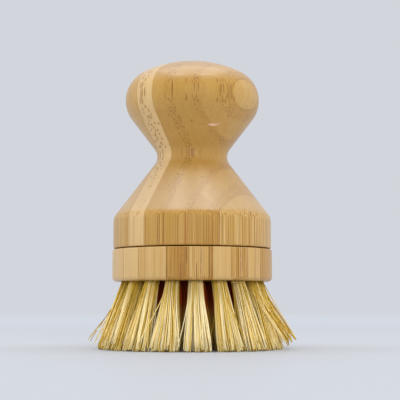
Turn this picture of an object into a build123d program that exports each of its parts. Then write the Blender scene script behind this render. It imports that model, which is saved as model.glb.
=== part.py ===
"""Palm brush: a waisted bamboo handle that screws onto a round bamboo brush head.

The head's block holds three rings of bristle tufts. Each tuft is a bundle of plant fibre that is
folded over a flat steel anchor and driven into a leaning blind hole, so the tufts fan out below.
A steel stud stands in the middle of the block, and a brass insert in the handle runs on it.

Lengths are in millimetres and angles in degrees. +Z is up, and the origin is the middle of the
flat plane that the trimmed bristles stand on.
"""

import os
from math import acos, atan2, cos, degrees, radians, sin, sqrt, tan

from build123d import *

# Stud: machine thread above the block, wood thread inside it.
stud_radius = 3.0
stud_reach = 10.0
thread_pitch = 1.0
thread_depth = 0.55
wood_thread_pitch = 2.6
wood_thread_depth = 0.75
stud_point_length = 2.2
stud_point_radius = 0.4
pilot_bite = 0.3
pilot_floor = 2.4
pilot_end_gap = 0.5

# Tufts and the holes that hold them.
hole_radius = 2.6
hole_roof = 3.0
tuft_gap = 2.8
tuft_clearance = 0.05
tuft_root_proud = 1.3
bristle_reach = 25.0
tip_gap = 1.2
splay_width = 4.4
splay_rise_share = 0.8

# Locks of fibre in a tuft, four-sided, thicker at the trimmed end.
rim_locks = 9
core_locks = 3
lock_root_width = 0.9
lock_root_depth = 0.85
lock_tip_width = 1.7
lock_tip_depth = 1.1
lock_overlap = 0.8
lock_skin = 0.1
core_root_share = 0.4
core_tip_share = 0.36
rim_tip_swing_share = 0.12
rim_swing_turn = 200.0

# Anchors: flat steel strips that pin each fold and bite into the hole's wall.
anchor_height = 3.0
anchor_thickness = 0.45
anchor_bite = 0.3
anchor_corner = 0.4
fold_thickness = 1.3

# Brush head block.
block_thickness = 11.9
rim_width = 3.4
block_top_round = 0.5
block_bottom_round = 1.5

# Insert: a collared, ringed brass bush that runs on the stud.
insert_radius = 4.6
insert_length = 13.0
insert_ring_pitch = 2.0
insert_ring_depth = 0.4
collar_radius = 6.5
collar_thickness = 1.2
running_clearance = 0.06
bore_end_gap = 1.0

# Handle, from its base up: band, cone, waist, knob and crown.
joint_gap = 0.4
band_inset = 0.3
band_height = 11.7
base_round = 0.6
shoulder_round = 5.5
neck_radius = 13.3
neck_fillet = 5.0
neck_rise = 23.2
knob_radius = 25.4
knob_rise = 21.5
bulge_radius = 11.6
crown_height = 3.2

# Each tool runs past the face it cuts by this much.
cut_overrun = 1.0

# Rings of tufts, from the middle out: tufts in the ring, lean of the tufts, turn of the first one.
ring_step = 2 * hole_radius + tuft_gap
rings = {
    "inner": {"tufts": 6, "radius": ring_step, "lean": 4.0, "turn": 20.0},
    "middle": {"tufts": 12, "radius": 2 * ring_step, "lean": 12.0, "turn": 8.0},
    "outer": {"tufts": 18, "radius": 3 * ring_step, "lean": 22.0, "turn": -86.5},
}

# Heights and radii that follow from the sizes above.
block_bottom = bristle_reach
block_top = block_bottom + block_thickness
block_radius = rings["outer"]["radius"] + hole_radius + rim_width
handle_base = block_top + joint_gap
band_radius = block_radius - band_inset
shoulder_height = handle_base + band_height
neck_height = shoulder_height + neck_rise
knob_height = neck_height + knob_rise
crown_top = knob_height + bulge_radius + crown_height
stud_end = block_bottom + pilot_floor + pilot_end_gap


def at(radius, height):
    """A point of a turned outline, at a radius from the axis and a height."""
    return Vector(radius, 0, height)


def round_from(centre, radius, start, end):
    """An arc about a centre, from one angle to another, in the outline's plane."""
    middle = (start + end) / 2
    points = [
        centre + Vector(cos(radians(a)), 0, sin(radians(a))) * radius
        for a in (start, middle, end)
    ]
    return ThreePointArc(*points)


def turned(edges):
    """The solid of revolution whose outline is closed along the axis."""
    outline = list(edges)
    foot = outline[0] @ 0
    crown = outline[-1] @ 1
    outline.insert(0, Line(at(0, foot.Z), foot))
    outline.append(Line(crown, at(0, crown.Z)))
    outline.append(Line(at(0, crown.Z), at(0, foot.Z)))
    return revolve(make_face(outline), Axis.Z)


def ringed_outline(radius, root_radius, low, high, pitch):
    """The points of a row of pointed rings that fills a length as evenly as the pitch allows."""
    count = max(1, round((high - low) / pitch))
    step = (high - low) / count
    points = []
    for ring in range(count):
        foot = low + ring * step
        points += [at(root_radius, foot), at(radius, foot + step / 2)]
    points.append(at(root_radius, high))
    return points


def tangent_from_point(point, centre, radius):
    """The angle on a circle where a line from an outside point, low and outside it, just touches."""
    away = point - centre
    spread = degrees(acos(radius / away.length))
    return degrees(atan2(away.Z, away.X)) - spread


def cross_tangent(low_centre, low_radius, high_centre, high_radius):
    """The angle on the low circle where the line that crosses between two circles touches it."""
    away = high_centre - low_centre
    spread = degrees(acos((low_radius + high_radius) / away.length))
    return degrees(atan2(away.Z, away.X)) + spread


def handle_outline():
    """The turned outside of the handle, from the middle of its base to its crown."""
    shoulder = at(band_radius, shoulder_height)
    neck_centre = at(neck_radius + neck_fillet, neck_height)
    knob_centre = at(knob_radius - bulge_radius, knob_height)
    low_touch = tangent_from_point(shoulder, neck_centre, neck_fillet) % 360
    high_touch = cross_tangent(neck_centre, neck_fillet, knob_centre, bulge_radius) % 360
    cone_angle = low_touch - 180
    waist = round_from(neck_centre, neck_fillet, low_touch, high_touch)

    reach = knob_radius - bulge_radius
    crown_radius = (reach**2 + 2 * bulge_radius * crown_height + crown_height**2) / (2 * crown_height)
    crown_centre = at(0, crown_top - crown_radius)
    crown_angle = degrees(atan2(knob_height - crown_centre.Z, reach))
    bulge = round_from(knob_centre, bulge_radius, high_touch - 180, crown_angle)
    crown = round_from(crown_centre, crown_radius, crown_angle, 90)

    shoulder_setback = shoulder_round * tan(radians(cone_angle / 2))
    shoulder_centre = at(band_radius - shoulder_round, shoulder_height - shoulder_setback)
    shoulder_arc = round_from(shoulder_centre, shoulder_round, 0, cone_angle)
    base_centre = at(band_radius - base_round, handle_base + base_round)
    base_arc = round_from(base_centre, base_round, -90, 0)
    return [
        base_arc,
        Line(base_arc @ 1, shoulder_arc @ 0),
        shoulder_arc,
        Line(shoulder_arc @ 1, waist @ 0),
        waist,
        Line(waist @ 1, bulge @ 0),
        bulge,
        crown,
    ]


def make_handle():
    """The turned handle, bored from below for the insert and its collar."""
    recess_top = handle_base + collar_thickness - joint_gap
    bore_top = block_top + insert_length + bore_end_gap
    floor = handle_base - cut_overrun
    recess_radius = collar_radius + running_clearance
    bore_radius = insert_radius + running_clearance
    recess = turned([Line(at(recess_radius, floor), at(recess_radius, recess_top))])
    bore = turned([Line(at(bore_radius, floor), at(bore_radius, bore_top))])
    return turned(handle_outline()) - recess - bore


def make_insert():
    """The brass insert: a collar that seats on the block, and a ringed barrel inside the handle."""
    collar_top = block_top + collar_thickness
    insert_top = block_top + insert_length
    root = insert_radius - insert_ring_depth
    barrel = ringed_outline(insert_radius, root, collar_top, insert_top, insert_ring_pitch)
    outside = Polyline(at(collar_radius, block_top), at(collar_radius, collar_top), *barrel)
    bore_radius = stud_radius + running_clearance
    bore = Line(at(bore_radius, block_top - cut_overrun), at(bore_radius, insert_top + cut_overrun))
    return turned(outside.edges()) - turned([bore])


def make_stud():
    """The stud: wood thread with a blunt point below, machine thread above the block."""
    point_top = stud_end + stud_point_length
    wood_root = stud_radius - wood_thread_depth
    wood = ringed_outline(stud_radius, wood_root, point_top, block_top, wood_thread_pitch)
    machine_root = stud_radius - thread_depth
    machine = ringed_outline(stud_radius, machine_root, block_top, block_top + stud_reach, thread_pitch)
    outline = Polyline(at(stud_point_radius, stud_end), *wood, *machine)
    return turned(outline.edges())


def hole_depth(lean):
    """How far a leaning hole runs, along its axis, to leave the named roof of wood above it."""
    rise = block_thickness - hole_roof - hole_radius * sin(radians(lean))
    return rise / cos(radians(lean))


def mouth_plane(ring):
    """The plane of a hole's mouth at the ring's start: its normal is the tuft's axis, outwards."""
    lean = radians(ring["lean"])
    return Plane(
        origin=(ring["radius"], 0, block_bottom),
        x_dir=(cos(lean), 0, sin(lean)),
        z_dir=(sin(lean), 0, -cos(lean)),
    )


def ring_angles(ring):
    """The turn of every tuft of a ring about the brush's axis."""
    return [ring["turn"] + 360 * place / ring["tufts"] for place in range(ring["tufts"])]


def hole_tool(ring):
    """The drill's body for one hole of a ring."""
    depth = hole_depth(ring["lean"])
    overrun = cut_overrun + hole_radius * tan(radians(ring["lean"]))
    length = depth + overrun
    return mouth_plane(ring) * Pos(0, 0, overrun - length / 2) * Cylinder(hole_radius, length)


def make_block():
    """The turned block with its tuft holes and the pilot hole of the stud."""
    top_centre = at(block_radius - block_top_round, block_top - block_top_round)
    bottom_centre = at(block_radius - block_bottom_round, block_bottom + block_bottom_round)
    bottom_arc = round_from(bottom_centre, block_bottom_round, -90, 0)
    top_arc = round_from(top_centre, block_top_round, 0, 90)
    block = turned([bottom_arc, Line(bottom_arc @ 1, top_arc @ 0), top_arc])
    pilot_radius = stud_radius - pilot_bite
    pilot_floor_height = stud_end - pilot_end_gap
    pilot = turned([Line(at(pilot_radius, pilot_floor_height), at(pilot_radius, block_top + cut_overrun))])
    holes = [
        hole_tool(ring).rotate(Axis.Z, angle)
        for ring in rings.values()
        for angle in ring_angles(ring)
    ]
    return block - [pilot, *holes]


def quad(centre, across, out, width, depth):
    """A four-sided wire about a centre, wide along one direction and deep along the other."""
    half_width = across * (width / 2)
    half_depth = out * (depth / 2)
    corners = [
        centre - half_width - half_depth,
        centre + half_width - half_depth,
        centre + half_width + half_depth,
        centre - half_width + half_depth,
    ]
    return Wire.make_polygon(corners, close=True)


def tip_reach(ring):
    """How far from the brush's axis the middle of a tuft meets the trim plane."""
    return ring["radius"] + bristle_reach * tan(radians(ring["lean"]))


def tip_radius(ring):
    """How far a tuft spreads at the trim plane, short of its neighbours by the named gap."""
    pitch = 2 * tip_reach(ring) * sin(radians(180 / ring["tufts"]))
    return (pitch - tip_gap) / 2


def flat_trim_radius():
    """How far out the tips lie on the trim plane: outside it is the splayed edge, where they rise."""
    outer = rings["outer"]
    return tip_reach(outer) + tip_radius(outer) - splay_width


def tip_point(ring, out, angle):
    """Where a lock ends: on the trim plane, or above it where the outermost fibres splay."""
    x = tip_reach(ring) + out * cos(radians(angle))
    y = -out * sin(radians(angle))
    splay = Vector(x, y, 0).length - flat_trim_radius()
    return Vector(x, y, max(0, splay * splay_rise_share))


def make_lock(ring, root_out, tip_out, angle):
    """One straight four-sided lock of fibre, from inside the tuft's root to its trimmed end."""
    plane = mouth_plane(ring)
    turn = radians(angle)
    root_outward = plane.x_dir * cos(turn) + plane.y_dir * sin(turn)
    root_across = plane.y_dir * cos(turn) - plane.x_dir * sin(turn)
    root_centre = plane.origin + plane.z_dir * (tuft_root_proud - lock_overlap) + root_outward * root_out
    tip_outward = Vector(cos(turn), -sin(turn), 0)
    tip_across = Vector(-sin(turn), -cos(turn), 0)
    root = quad(root_centre, root_across, root_outward, lock_root_width, lock_root_depth)
    tip = quad(tip_point(ring, tip_out, angle), tip_across, tip_outward, lock_tip_width, lock_tip_depth)
    return Solid.make_loft([root, tip], ruled=True)


def make_locks(ring):
    """All the locks of a tuft: a rim of them round a few in the core, none crossing."""
    rim_reach = hole_radius - tuft_clearance - lock_skin
    rim_root = sqrt(rim_reach**2 - (lock_root_width / 2) ** 2) - lock_root_depth / 2
    rim_tip = tip_radius(ring) - lock_tip_depth / 2
    locks = []
    for place in range(rim_locks):
        swing = 1 - rim_tip_swing_share * (1 + sin(radians(rim_swing_turn * place))) / 2
        locks.append(make_lock(ring, rim_root, rim_tip * swing, 360 * place / rim_locks))
    for place in range(core_locks):
        angle = 360 * (place + 1 / 2) / core_locks
        locks.append(make_lock(ring, rim_root * core_root_share, rim_tip * core_tip_share, angle))
    return locks


def anchor_place(ring):
    """The middle of the anchor on a tuft's axis, under the fold at the bottom of the hole."""
    return mouth_plane(ring) * Pos(0, 0, fold_thickness + anchor_height / 2 - hole_depth(ring["lean"]))


def make_tuft(ring):
    """One tuft: its packed root in the hole, slotted for the anchor, with its locks below."""
    root_radius = hole_radius - tuft_clearance
    low = tuft_clearance - hole_depth(ring["lean"])
    length = tuft_root_proud - low
    root = mouth_plane(ring) * Pos(0, 0, low + length / 2) * Cylinder(root_radius, length)
    slot = anchor_place(ring) * Box(
        anchor_thickness + 2 * tuft_clearance,
        2 * hole_radius,
        anchor_height + 2 * tuft_clearance,
    )
    return (root - slot).solid().fuse(*make_locks(ring))


def make_anchor(ring):
    """One flat anchor with cropped corners, wider than the hole by its bite at each side."""
    width = 2 * (hole_radius + anchor_bite)
    blank = Box(anchor_thickness, width, anchor_height)
    corners = blank.edges().filter_by(Axis.X)
    return anchor_place(ring) * chamfer(corners, anchor_corner)


def round_the_ring(piece, ring):
    """Copies of a piece at every place of its ring."""
    return [piece.rotate(Axis.Z, angle) for angle in ring_angles(ring)]


def build():
    """Every node of the brush by name."""
    nodes = {
        "handle": make_handle(),
        "handle_insert": make_insert(),
        "stud": make_stud(),
        "brush_block": make_block(),
    }
    for name, ring in rings.items():
        nodes[f"anchors_{name}"] = Compound(children=round_the_ring(make_anchor(ring), ring))
        for place, tuft in enumerate(round_the_ring(make_tuft(ring), ring), start=1):
            nodes[f"tuft_{name}_{place:02d}"] = tuft
    return nodes


os.makedirs("parts", exist_ok=True)
for node_name, node in build().items():
    export_step(node, f"parts/{node_name}.step")
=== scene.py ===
"""Palm brush: a turned bamboo handle on a round bamboo head, with tufts of plant fibre below.

The metal pieces between handle and head show when the handle is unscrewed: the stud that stands in
the head, and the brass insert that the handle holds. Sizes are in metres, as Blender has them; MM
turns the drawing's millimetres into metres. +Z is up and -Y is the side towards the camera.
"""

from math import acos, atan2, ceil, cos, pi, radians, sin, sqrt, tan

import bpy
import numpy as np
from bpy.props import FloatProperty, FloatVectorProperty, IntProperty, PointerProperty
from mathutils import Matrix, Vector


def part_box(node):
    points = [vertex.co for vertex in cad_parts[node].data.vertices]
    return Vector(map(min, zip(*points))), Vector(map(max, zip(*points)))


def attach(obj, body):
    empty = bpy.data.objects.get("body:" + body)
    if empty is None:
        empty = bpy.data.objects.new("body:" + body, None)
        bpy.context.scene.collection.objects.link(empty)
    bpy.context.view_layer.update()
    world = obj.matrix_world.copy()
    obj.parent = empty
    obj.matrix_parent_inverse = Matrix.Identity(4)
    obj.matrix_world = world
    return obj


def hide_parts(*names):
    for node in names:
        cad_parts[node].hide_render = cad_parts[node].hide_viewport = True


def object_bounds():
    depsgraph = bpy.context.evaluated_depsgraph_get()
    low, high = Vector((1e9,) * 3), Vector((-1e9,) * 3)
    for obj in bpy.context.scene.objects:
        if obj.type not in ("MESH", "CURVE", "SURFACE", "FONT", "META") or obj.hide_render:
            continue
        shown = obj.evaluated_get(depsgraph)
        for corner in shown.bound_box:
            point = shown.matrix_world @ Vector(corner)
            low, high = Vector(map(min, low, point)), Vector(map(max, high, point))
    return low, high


bl_info = {
    "name": "Palm Brush",
    "version": (1, 0, 0),
    "blender": (4, 5, 0),
    "location": "3D View > Sidebar > Palm Brush",
    "description": "Builds a bamboo palm brush with fibre tufts around its packed frame",
    "category": "Object",
}

MM = 0.001
GOLDEN_ANGLE = pi * (3 - sqrt(5))

# How far apart the points of the outlines' round stretches are, and from which angle an edge stays sharp.
EDGE_STEP = radians(18)
BLOCK_FOOT_STEP = radians(15)
BLOCK_TOP_STEP = radians(22)
ROUND_STEP = radians(4)
WAIST_STEP = radians(6)
CROWN_STEP = radians(2)
SHARP = radians(28)
THREAD_SHARP = radians(35)

# Corners nearer than this are one corner, and points this near a plane lie on it.
MERGE_DISTANCE = 2e-6
FLATNESS = 0.02 * MM

# Steps round the metal pieces, the stud's core over its point, and how far the pilot drill starts outside.
THREAD_STEPS = 20
STUD_STEPS = 24
INSERT_STEPS = 64
POINT_TAPER = 5
PILOT_OVERRUN = MM

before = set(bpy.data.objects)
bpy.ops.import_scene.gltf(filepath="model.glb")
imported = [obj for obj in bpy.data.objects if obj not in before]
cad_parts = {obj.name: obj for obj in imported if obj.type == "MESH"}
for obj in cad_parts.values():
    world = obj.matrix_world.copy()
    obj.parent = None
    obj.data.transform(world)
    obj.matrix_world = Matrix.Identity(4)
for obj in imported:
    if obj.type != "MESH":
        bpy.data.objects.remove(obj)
cad_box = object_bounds()

handle_low, handle_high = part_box("handle")
block_low, block_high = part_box("brush_block")
insert_low, insert_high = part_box("handle_insert")
stud_low, stud_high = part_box("stud")
tuft_nodes = sorted(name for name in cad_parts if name.startswith("tuft_"))
anchor_nodes = sorted(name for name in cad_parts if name.startswith("anchors_"))


def size(name, description, default, high=1.0):
    """A length that a user can change."""
    return FloatProperty(
        name=name, description=description, default=default, min=0.0, max=high, unit="LENGTH", precision=5
    )


def share(name, description, default, low=0.0, high=1.0):
    """A plain number that a user can change."""
    return FloatProperty(name=name, description=description, default=default, min=low, max=high)


def turn(name, description, default):
    """An angle that a user can change."""
    return FloatProperty(name=name, description=description, default=default, subtype="ANGLE")


def colour(name, description, default):
    """A colour that a user can change."""
    return FloatVectorProperty(
        name=name, description=description, default=default, min=0.0, max=1.0, size=3, subtype="COLOR"
    )


class HandleSizes(bpy.types.PropertyGroup):
    """Sizes of the turned handle."""

    band_radius: size("Band radius", "Radius of the straight band at the foot", handle_high.x)
    band_height: size("Band height", "From the foot to the corner under the cone", 11.7 * MM)
    base_round: size("Base round", "Rounding of the band's lower edge", 0.6 * MM)
    shoulder_round: size("Shoulder round", "Rounding between band and cone", 5.5 * MM)
    neck_radius: size("Waist radius", "Radius at the waist", 13.3 * MM)
    neck_fillet: size("Waist round", "Hollow round at the waist", 5.0 * MM)
    neck_rise: size("Waist rise", "From the corner under the cone to the waist", 23.2 * MM)
    knob_radius: size("Knob radius", "Radius of the knob at its widest", 25.4 * MM)
    knob_rise: size("Knob rise", "From the waist to the widest part of the knob", 21.5 * MM)
    bulge_radius: size("Bulge radius", "Round of the knob's side", 11.6 * MM)
    crown_height: size("Crown height", "From the end of the knob's side up to the top", 3.2 * MM)
    bore_radius: size("Bore radius", "Bore that holds the insert", 4.66 * MM)
    bore_end_gap: size("Bore end gap", "Space above the insert", 1.0 * MM)
    recess_radius: size("Recess radius", "Recess that holds the insert's collar", 6.56 * MM)
    recess_depth: size("Recess depth", "Depth of the collar's recess", 0.8 * MM)
    turned_steps: IntProperty(name="Steps", description="Steps round the turned pieces", default=160, min=24)


class BlockSizes(bpy.types.PropertyGroup):
    """Sizes of the turned head block and its drilled holes."""

    top_round: size("Top round", "Rounding of the upper edge", 0.5 * MM)
    bottom_round: size("Bottom round", "Rounding of the lower edge", 1.5 * MM)
    hole_radius: size("Hole radius", "Radius of the holes that hold the tufts", 2.6 * MM)
    hole_overrun: size("Hole overrun", "How far a drill starts outside the block", 2.5 * MM)
    hole_sides: IntProperty(name="Hole sides", description="Sides of a drilled hole", default=28, min=8)
    pilot_radius: size("Pilot radius", "Radius of the stud's pilot hole", 2.7 * MM)
    pilot_gap: size("Pilot gap", "Space under the stud's point", 0.5 * MM)


class MetalSizes(bpy.types.PropertyGroup):
    """Sizes of the stud and the insert."""

    stud_radius: size("Stud radius", "Outer radius of both threads", 3.0 * MM)
    thread_pitch: size("Thread pitch", "Rise of the machine thread in one turn", 1.0 * MM)
    thread_depth: size("Thread depth", "Depth of the machine thread", 0.55 * MM)
    wood_pitch: size("Wood thread pitch", "Rise of the wood thread in one turn", 2.6 * MM)
    wood_depth: size("Wood thread depth", "Depth of the wood thread", 0.75 * MM)
    point_length: size("Point length", "Length of the wood thread's point", 2.2 * MM)
    end_chamfer: size("End chamfer", "Chamfer of the stud's upper end", 0.5 * MM)
    collar_radius: size("Collar radius", "Radius of the insert's collar", 6.5 * MM)
    collar_thickness: size("Collar thickness", "Thickness of the insert's collar", 1.2 * MM)
    barrel_radius: size("Barrel radius", "Radius of the insert's barrel", 4.6 * MM)
    barrel_pitch: size("Barrel pitch", "Spacing of the insert's grip rings", 2.0 * MM)
    barrel_depth: size("Barrel depth", "Depth of the insert's grip rings", 0.4 * MM)
    bore_radius: size("Insert bore", "Bore radius of the insert", 3.06 * MM)
    edge_chamfer: size("Edge chamfer", "Chamfer of the collar's edges", 0.2 * MM)


class BristleSizes(bpy.types.PropertyGroup):
    """How the tufts are filled and trimmed."""

    fibres: IntProperty(name="Fibres", description="Fibres in a tuft", default=160, min=8, max=400)
    fibre_radius: size("Fibre radius", "Radius of a fibre of middling thickness", 0.2 * MM)
    packed_radius: size("Packed radius", "Radius of the bundle in its hole", 2.4 * MM)
    start_depth: size("Start depth", "How far inside the hole the loose fibres start", 1.5 * MM)
    splay_width: size("Splay width", "Width of the outer edge where the tips rise", 4.4 * MM)
    splay_rise: share("Splay rise", "Rise of the tips over their reach into the splayed edge", 0.8)
    tip_scatter: size("Tip scatter", "How much shorter than the trim a fibre may be", 2.4 * MM)
    lock_scatter: size("Lock scatter", "How much shorter than the trim a whole lock may be", 0.3 * MM)
    waviness: size("Waviness", "How far a fibre strays from its straight course", 0.45 * MM)
    locks: IntProperty(name="Locks", description="Locks that a tuft's tips part into", default=14, min=1)
    lock_pull: share("Lock pull", "How far tips gather towards the middle of their lock", 0.65)
    strays: IntProperty(name="Strays", description="Fibres that stand away from a tuft", default=8, min=0)
    worn_strays: IntProperty(
        name="Worn strays", description="Strays of a tuft on the side that use has splayed", default=16, min=0
    )
    stray_reach: size("Stray reach", "How far a stray's tip stands outside the tuft", 2.6 * MM)
    outward_share: share("Outward share", "Spread of the tips outwards, over the tuft's reach", 0.22)
    side_share: share("Side share", "Spread of the tips to both sides, over the tuft's reach", 0.8)
    worn_lean: share("Worn lean", "How far the tips of a worn tuft lean back in, over the tuft's reach", 0.2)
    # Painted shade: how brown the fibres of the tufts in the middle of the brush are painted, for the shade
    # among the tufts.
    inner_shade_tone: share("Inner shade tone", "How brown the tufts in the middle of the brush are", 3.2, 0.0, 6.0)
    # Painted light: the tufts that face the front are painted paler and those at the back darker.
    front_painted_light: share("Front painted light", "How much paler the front tufts are than those at the back", 0.4)
    # Painted shade: fibres deep in a tuft are painted darker, for the shade between them.
    core_painted_shade: share("Core painted shade", "How much darker a fibre in the middle of its tuft is", 0.5)
    tip_thinning: share("Tip thinning", "How much thinner a fibre is at its tip than at its root", 0.3)
    loose_side: size("Loose fibre", "How far to the right of the axis a loose fibre hangs", 16.2 * MM)
    loose_length: size("Loose length", "Length of the loose fibre that hangs under the block", 4.4 * MM)
    seed: IntProperty(name="Seed", description="Start of the random draws", default=7)


class Finishes(bpy.types.PropertyGroup):
    """Colours of the materials."""

    pale_bamboo: colour("Pale bamboo", "The palest bamboo strips", (0.660, 0.440, 0.185))
    gold_bamboo: colour("Gold bamboo", "Middling bamboo strips", (0.480, 0.262, 0.043))
    brown_bamboo: colour("Brown bamboo", "The darkest bamboo strips", (0.400, 0.190, 0.022))
    streak_brown: colour("Streak brown", "Dark streaks in the bamboo", (0.330, 0.140, 0.018))
    bundle_brown: colour("Bundle brown", "Fibre bundles in the bamboo", (0.285, 0.112, 0.006))
    line_brown: colour("Line brown", "The darkest fibre bundles in the bamboo", (0.190, 0.078, 0.003))
    orange_bundle: colour("Orange bundle", "Resin-stained fibre bundles in the bamboo", (0.380, 0.130, 0.008))
    bare_wood: colour("Bare wood", "Wood where the wax is chipped off", (0.800, 0.500, 0.340))
    # Partly the dusty end grain of the handle's slopes, partly a painted sheen of the light from above.
    sanded_wood_and_sheen: colour("Sanded wood and sheen", "Dusty end grain on the handle's slopes", (0.520, 0.420, 0.330))
    glue_brown: colour("Glue brown", "Glue between the strips", (0.290, 0.110, 0.014))
    dark_fibre: colour("Dark fibre", "The darkest bristle fibres", (0.440, 0.245, 0.008))
    straw_fibre: colour("Straw fibre", "Middling bristle fibres", (0.920, 0.665, 0.160))
    cream_fibre: colour("Cream fibre", "The palest bristle fibres", (0.975, 0.845, 0.510))
    # Painted shade under the block, where the fibres leave it; the middle tufts' painted shade also turns to
    # it.
    root_shade_fibre: colour("Root shade fibre", "Bristle fibres at the block", (0.540, 0.340, 0.030))
    # Painted shade among the tufts in the middle of the brush, not a colour of the fibre.
    inner_shade_fibre: colour("Inner shade fibre", "Bristle fibres in the middle of the brush", (0.345, 0.048, 0.003))
    steel: colour("Steel", "Plated steel", (0.620, 0.630, 0.650))
    dull_steel: colour("Dull steel", "Plated steel where it is stained", (0.450, 0.450, 0.460))
    brass: colour("Brass", "Turned brass", (0.740, 0.530, 0.240))
    dull_brass: colour("Dull brass", "Turned brass where it is stained", (0.520, 0.340, 0.140))


class StageSettings(bpy.types.PropertyGroup):
    """Camera, floor and light."""

    camera_distance: size("Camera distance", "From the camera to the brush's axis", 430 * MM, high=5.0)
    camera_height: size("Camera height", "Height of the camera above the floor", 16 * MM)
    camera_side: size("Camera side", "How far the camera stands to the right", 2.94 * MM)
    camera_pitch: turn("Camera pitch", "How far the camera looks up", radians(5.3))
    lens_mm: share("Lens", "Focal length in millimetres for a 36 mm sensor", 102.6, 10.0, 300.0)
    floor_radius: size("Floor radius", "Radius of the round floor", 3.0, high=20.0)
    backdrop: colour("Backdrop", "Colour of the background", (0.645, 0.668, 0.715))
    floor_colour: colour("Floor", "Colour of the floor", (0.512, 0.537, 0.582))
    far_floor_colour: colour("Far floor", "Colour of the floor far behind the brush", (0.660, 0.700, 0.765))
    near_floor: size("Near floor", "Where the floor around the brush ends", 100 * MM, high=20.0)
    far_floor: size("Far floor", "Where the far floor is even in colour", 700 * MM, high=20.0)
    backdrop_start: size("Backdrop start", "Where the floor starts to turn up", 900 * MM, high=20.0)
    backdrop_end: size("Backdrop end", "Where the floor has become the backdrop", 2600 * MM, high=20.0)
    sky: colour("Sky", "Colour of the light that comes from all around", (1.0, 1.0, 1.0))
    sky_level: share("Sky level", "Level of the light that comes from all around", 0.35, 0.0, 10.0)
    dome_level: share("Dome level", "Level of the soft lamps above and around the brush", 1.15, 0.0, 50.0)
    front_level: share("Front level", "Level of the soft lamp in front", 5.0, 0.0, 50.0)
    strip_level: share("Strip level", "Level of the two small lamps overhead", 7.0, 0.0, 50.0)


def deselect_all():
    """Goes back to object mode with nothing selected."""
    if bpy.context.object and bpy.context.object.mode != "OBJECT":
        bpy.ops.object.mode_set(mode="OBJECT")
    bpy.ops.object.select_all(action="DESELECT")


def pick(piece):
    """Selects one object and makes it active."""
    deselect_all()
    piece.select_set(True)
    bpy.context.view_layer.objects.active = piece


def edit(piece):
    """Opens a piece in edit mode with all of it selected."""
    pick(piece)
    bpy.ops.object.mode_set(mode="EDIT")
    bpy.ops.mesh.select_all(action="SELECT")


def settle(piece, name):
    """Names a piece and moves its place into its mesh."""
    pick(piece)
    bpy.ops.object.transform_apply(location=True, rotation=True, scale=True)
    piece.name = name
    piece.data.name = name
    return piece


def join(pieces):
    """Joins several objects into the first one."""
    deselect_all()
    for piece in pieces:
        piece.select_set(True)
    bpy.context.view_layer.objects.active = pieces[0]
    bpy.ops.object.join()
    return pieces[0]


def apply_modifier(piece, kind, **settings):
    """Adds one modifier, sets it and applies it."""
    pick(piece)
    bpy.ops.object.modifier_add(type=kind)
    modifier = piece.modifiers[-1]
    for key, value in settings.items():
        setattr(modifier, key, value)
    bpy.ops.object.modifier_apply(modifier=modifier.name)


def clean_normals(piece):
    """Merges doubles and turns the faces outwards."""
    edit(piece)
    bpy.ops.mesh.remove_doubles(threshold=MERGE_DISTANCE)
    bpy.ops.mesh.normals_make_consistent(inside=False)
    bpy.ops.object.mode_set(mode="OBJECT")


def shade(piece, angle):
    """Smooth shading with an edge where faces meet at more than an angle."""
    pick(piece)
    bpy.ops.object.shade_smooth_by_angle(angle=angle)
    return piece


def dress(piece, material):
    """Gives a piece its material, in its one material slot."""
    piece.data.materials.clear()
    piece.data.materials.append(material)


def at(radius, height):
    """A point of a turned outline."""
    return Vector((radius, height))


def arc(centre, radius, start, end, step):
    """The points of a round stretch of an outline."""
    count = max(3, ceil(abs(end - start) / step))
    return [
        centre + radius * Vector((cos(angle), sin(angle)))
        for angle in (start + (end - start) * place / count for place in range(count + 1))
    ]


def draw_outline(name, points):
    """A chain of edges in the XZ plane, drawn from one vertex by extruding it."""
    deselect_all()
    bpy.ops.mesh.primitive_plane_add(size=MM, location=(points[0].x, 0, points[0].y))
    piece = bpy.context.object
    edit(piece)
    bpy.ops.mesh.merge(type="CENTER")
    for before, after in zip(points, points[1:]):
        step = after - before
        bpy.ops.mesh.extrude_region_move(TRANSFORM_OT_translate={"value": (step.x, 0, step.y)})
    bpy.ops.object.mode_set(mode="OBJECT")
    return settle(piece, name)


def turned(name, points, steps):
    """A piece turned about the Z axis from its outline."""
    piece = draw_outline(name, points)
    edit(piece)
    bpy.ops.mesh.spin(steps=steps, angle=2 * pi, center=(0, 0, 0), axis=(0, 0, 1))
    bpy.ops.object.mode_set(mode="OBJECT")
    clean_normals(piece)
    return shade(piece, SHARP)


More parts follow.
